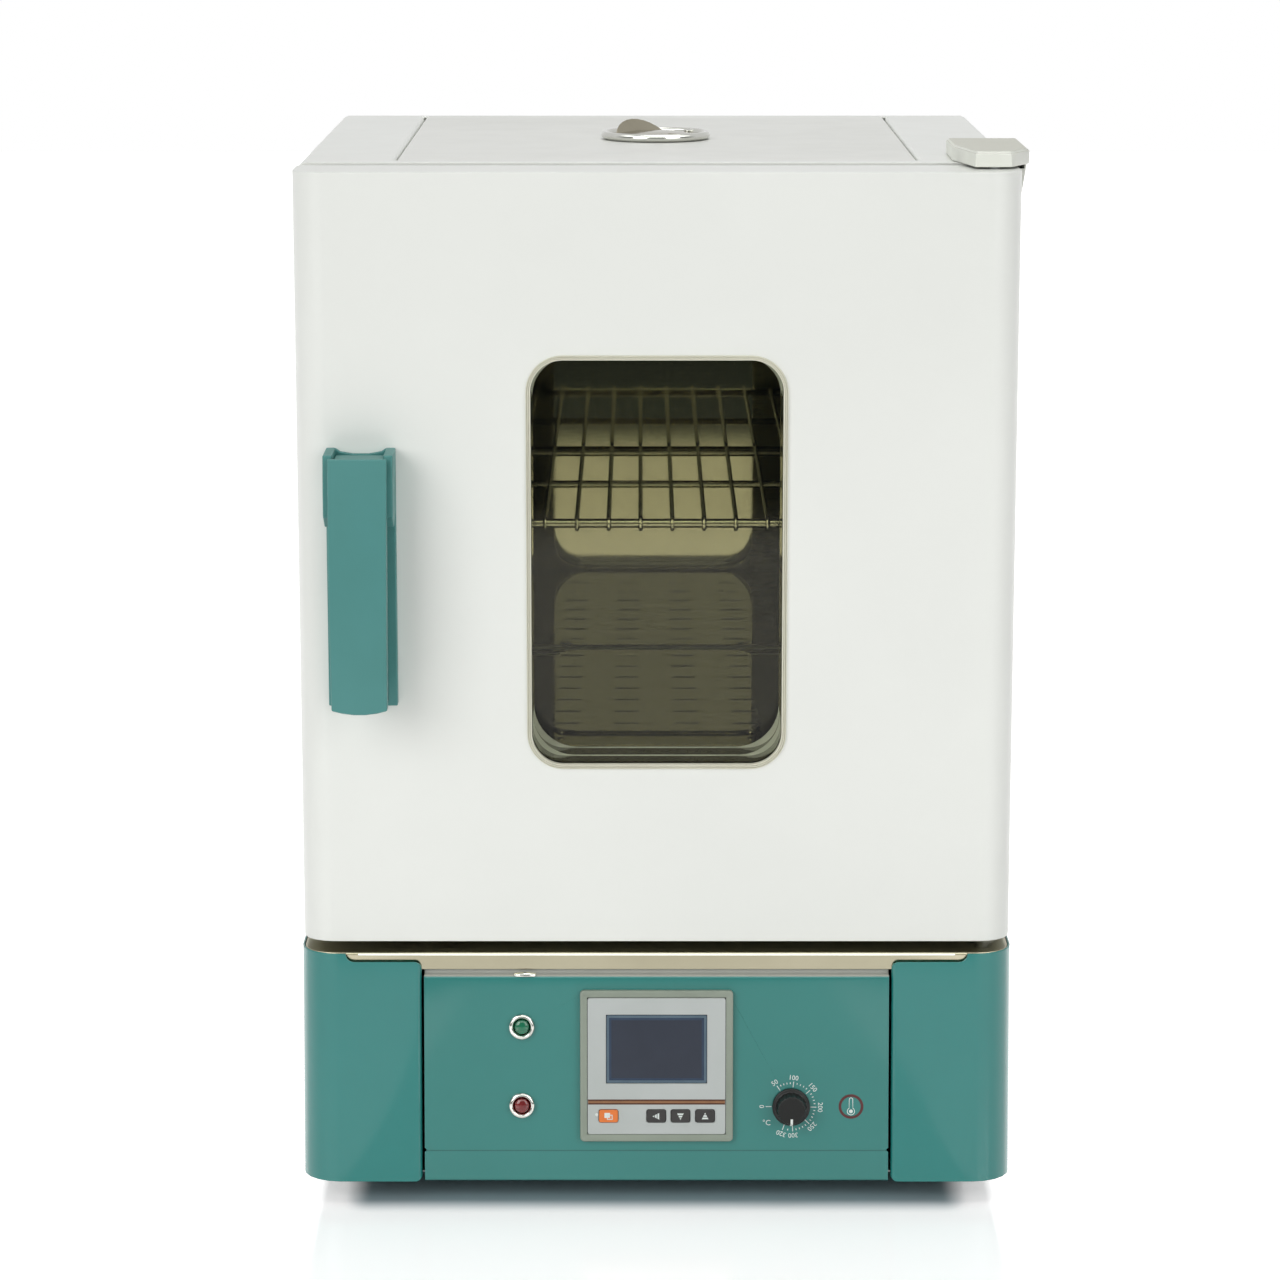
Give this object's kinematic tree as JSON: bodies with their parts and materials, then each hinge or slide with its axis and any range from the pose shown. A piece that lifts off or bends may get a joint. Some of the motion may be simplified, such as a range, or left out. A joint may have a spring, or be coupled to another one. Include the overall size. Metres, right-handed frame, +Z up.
{
  "type": "laboratory oven",
  "caption": "Bench drying oven: white cabinet with a hinged window door, latch handle, wire shelf, top vent and a teal base with temperature controller, lamps and limiter knob.",
  "frame": {"origin": "bottom centre of the bounding box, at the undersides of the feet", "axes": "+X to the right as seen from the front, +Y to the back, +Z up"},
  "size_m": [0.458, 0.5204, 0.6663],
  "materials": {
    "white_paint": "smooth semi-gloss powder coat",
    "grey_paint": "smooth semi-gloss powder coat",
    "teal_paint": "semi-gloss powder coat",
    "teal_plastic": "moulded, satin",
    "stainless": "brushed",
    "polished": "polished stainless steel",
    "bright_chrome": "polished",
    "zinc_steel": "zinc plated",
    "window_glass": "clear",
    "cream_rubber": "satin window seal",
    "white_silicone": "silicone door seal",
    "black_rubber": "matt",
    "glass_wool": "fibre slab",
    "ivory_plastic": "moulded, fine grain",
    "grey_plastic": "fine grain",
    "pale_plastic": "printed foil",
    "black_plastic": "satin",
    "dark_lens": "clear dark window",
    "orange_key": "satin",
    "dark_key": "satin",
    "green_lens": "translucent",
    "red_lens": "translucent"
  },
  "bodies": {
    "cabinet": {"front_frame": "white_paint", "strike_plate": "zinc_steel", "side_panel_left": "white_paint", "side_panel_right": "white_paint", "top_cover": "grey_paint", "rear_cover": "white_paint", "insulation_jacket": "glass_wool", "inner_chamber": "polished", "floor_plate": "polished", "heater_element": "stainless", "shelf_rack_left": "stainless", "shelf_rack_right": "stainless", "temperature_probe": "stainless", "vent_duct": "stainless", "vent_collar": "bright_chrome", "hinge_bracket_upper": "zinc_steel", "hinge_cover": "ivory_plastic", "hinge_bracket_lower": "zinc_steel", "base_pan": "zinc_steel", "base_cover_left": "teal_paint", "base_cover_right": "teal_paint", "apron_plate": "stainless", "control_panel": "teal_paint", "controller_case": "black_plastic", "controller_bezel": "grey_plastic", "controller_face": "pale_plastic", "display_lens": "dark_lens", "run_lamp_bezel": "bright_chrome", "run_lamp_lens": "green_lens", "alarm_lamp_bezel": "bright_chrome", "alarm_lamp_lens": "red_lens", "limiter_body": "black_plastic", "power_inlet": "black_plastic", "power_switch_frame": "black_plastic", "foot_front_left": "black_rubber", "foot_front_right": "black_rubber", "foot_back_left": "black_rubber", "foot_back_right": "black_rubber"},
    "door": {"door_shell": "white_paint", "door_liner": "stainless", "door_insulation": "glass_wool", "outer_glass": "window_glass", "inner_glass": "window_glass", "window_trim": "cream_rubber", "window_sleeve": "polished", "door_gasket": "white_silicone", "handle_base": "teal_plastic"},
    "lever": {"handle_lever": "teal_plastic", "latch_hook": "zinc_steel"},
    "vent_disc": {"vent_disc": "bright_chrome", "vent_screw": "bright_chrome"},
    "limiter_knob": {"limiter_knob": "black_plastic"},
    "wire_shelf": {"wire_shelf": "stainless"},
    "power_rocker": {"power_rocker": "black_plastic"},
    "key_menu": {"key_menu": "orange_key"},
    "key_shift": {"key_shift": "dark_key"},
    "key_down": {"key_down": "dark_key"},
    "key_up": {"key_up": "dark_key"}
  },
  "joints": [
    {"name": "door_hinge", "type": "hinge", "parent": "cabinet", "child": "door", "pos_m": [0.206, -0.17741, 0.166], "axis": [0, 0, 1], "range_deg": [0, 110]},
    {"name": "lever_hinge", "type": "hinge", "parent": "door", "child": "lever", "pos_m": [-0.1865, -0.22641, 0.47], "axis": [-1, 0, 0], "range_deg": [0, 10], "stiffness_Nm_per_rad": 0.6, "springref_deg": -11.46},
    {"name": "vent_turn", "type": "hinge", "parent": "cabinet", "child": "vent_disc", "pos_m": [-0.003, 0.04059, 0.656], "axis": [0, 0, 1], "range_deg": [0, 90]},
    {"name": "limiter_turn", "type": "hinge", "parent": "cabinet", "child": "limiter_knob", "pos_m": [0.0825, -0.22867, 0.06245], "axis": [0, 0.9945, -0.1045], "range_deg": [-270, 20]},
    {"name": "shelf_slide", "type": "slide", "parent": "cabinet", "child": "wire_shelf", "axis": [0, -1, 0], "range_m": [0, 0.008]},
    {"name": "rocker_tilt", "type": "hinge", "parent": "cabinet", "child": "power_rocker", "pos_m": [-0.063, 0.25559, 0.085], "axis": [-1, 0, 0], "range_deg": [0, 16]},
    {"name": "key_menu_press", "type": "slide", "parent": "cabinet", "child": "key_menu", "axis": [0, 0.9945, -0.1045], "range_m": [0, 0.0008], "stiffness_N_per_m": 250, "springref_m": -0.0005},
    {"name": "key_shift_press", "type": "slide", "parent": "cabinet", "child": "key_shift", "axis": [0, 0.9945, -0.1045], "range_m": [0, 0.0008], "stiffness_N_per_m": 250, "springref_m": -0.0005},
    {"name": "key_down_press", "type": "slide", "parent": "cabinet", "child": "key_down", "axis": [0, 0.9945, -0.1045], "range_m": [0, 0.0008], "stiffness_N_per_m": 250, "springref_m": -0.0005},
    {"name": "key_up_press", "type": "slide", "parent": "cabinet", "child": "key_up", "axis": [0, 0.9945, -0.1045], "range_m": [0, 0.0008], "stiffness_N_per_m": 250, "springref_m": -0.0005}
  ]
}
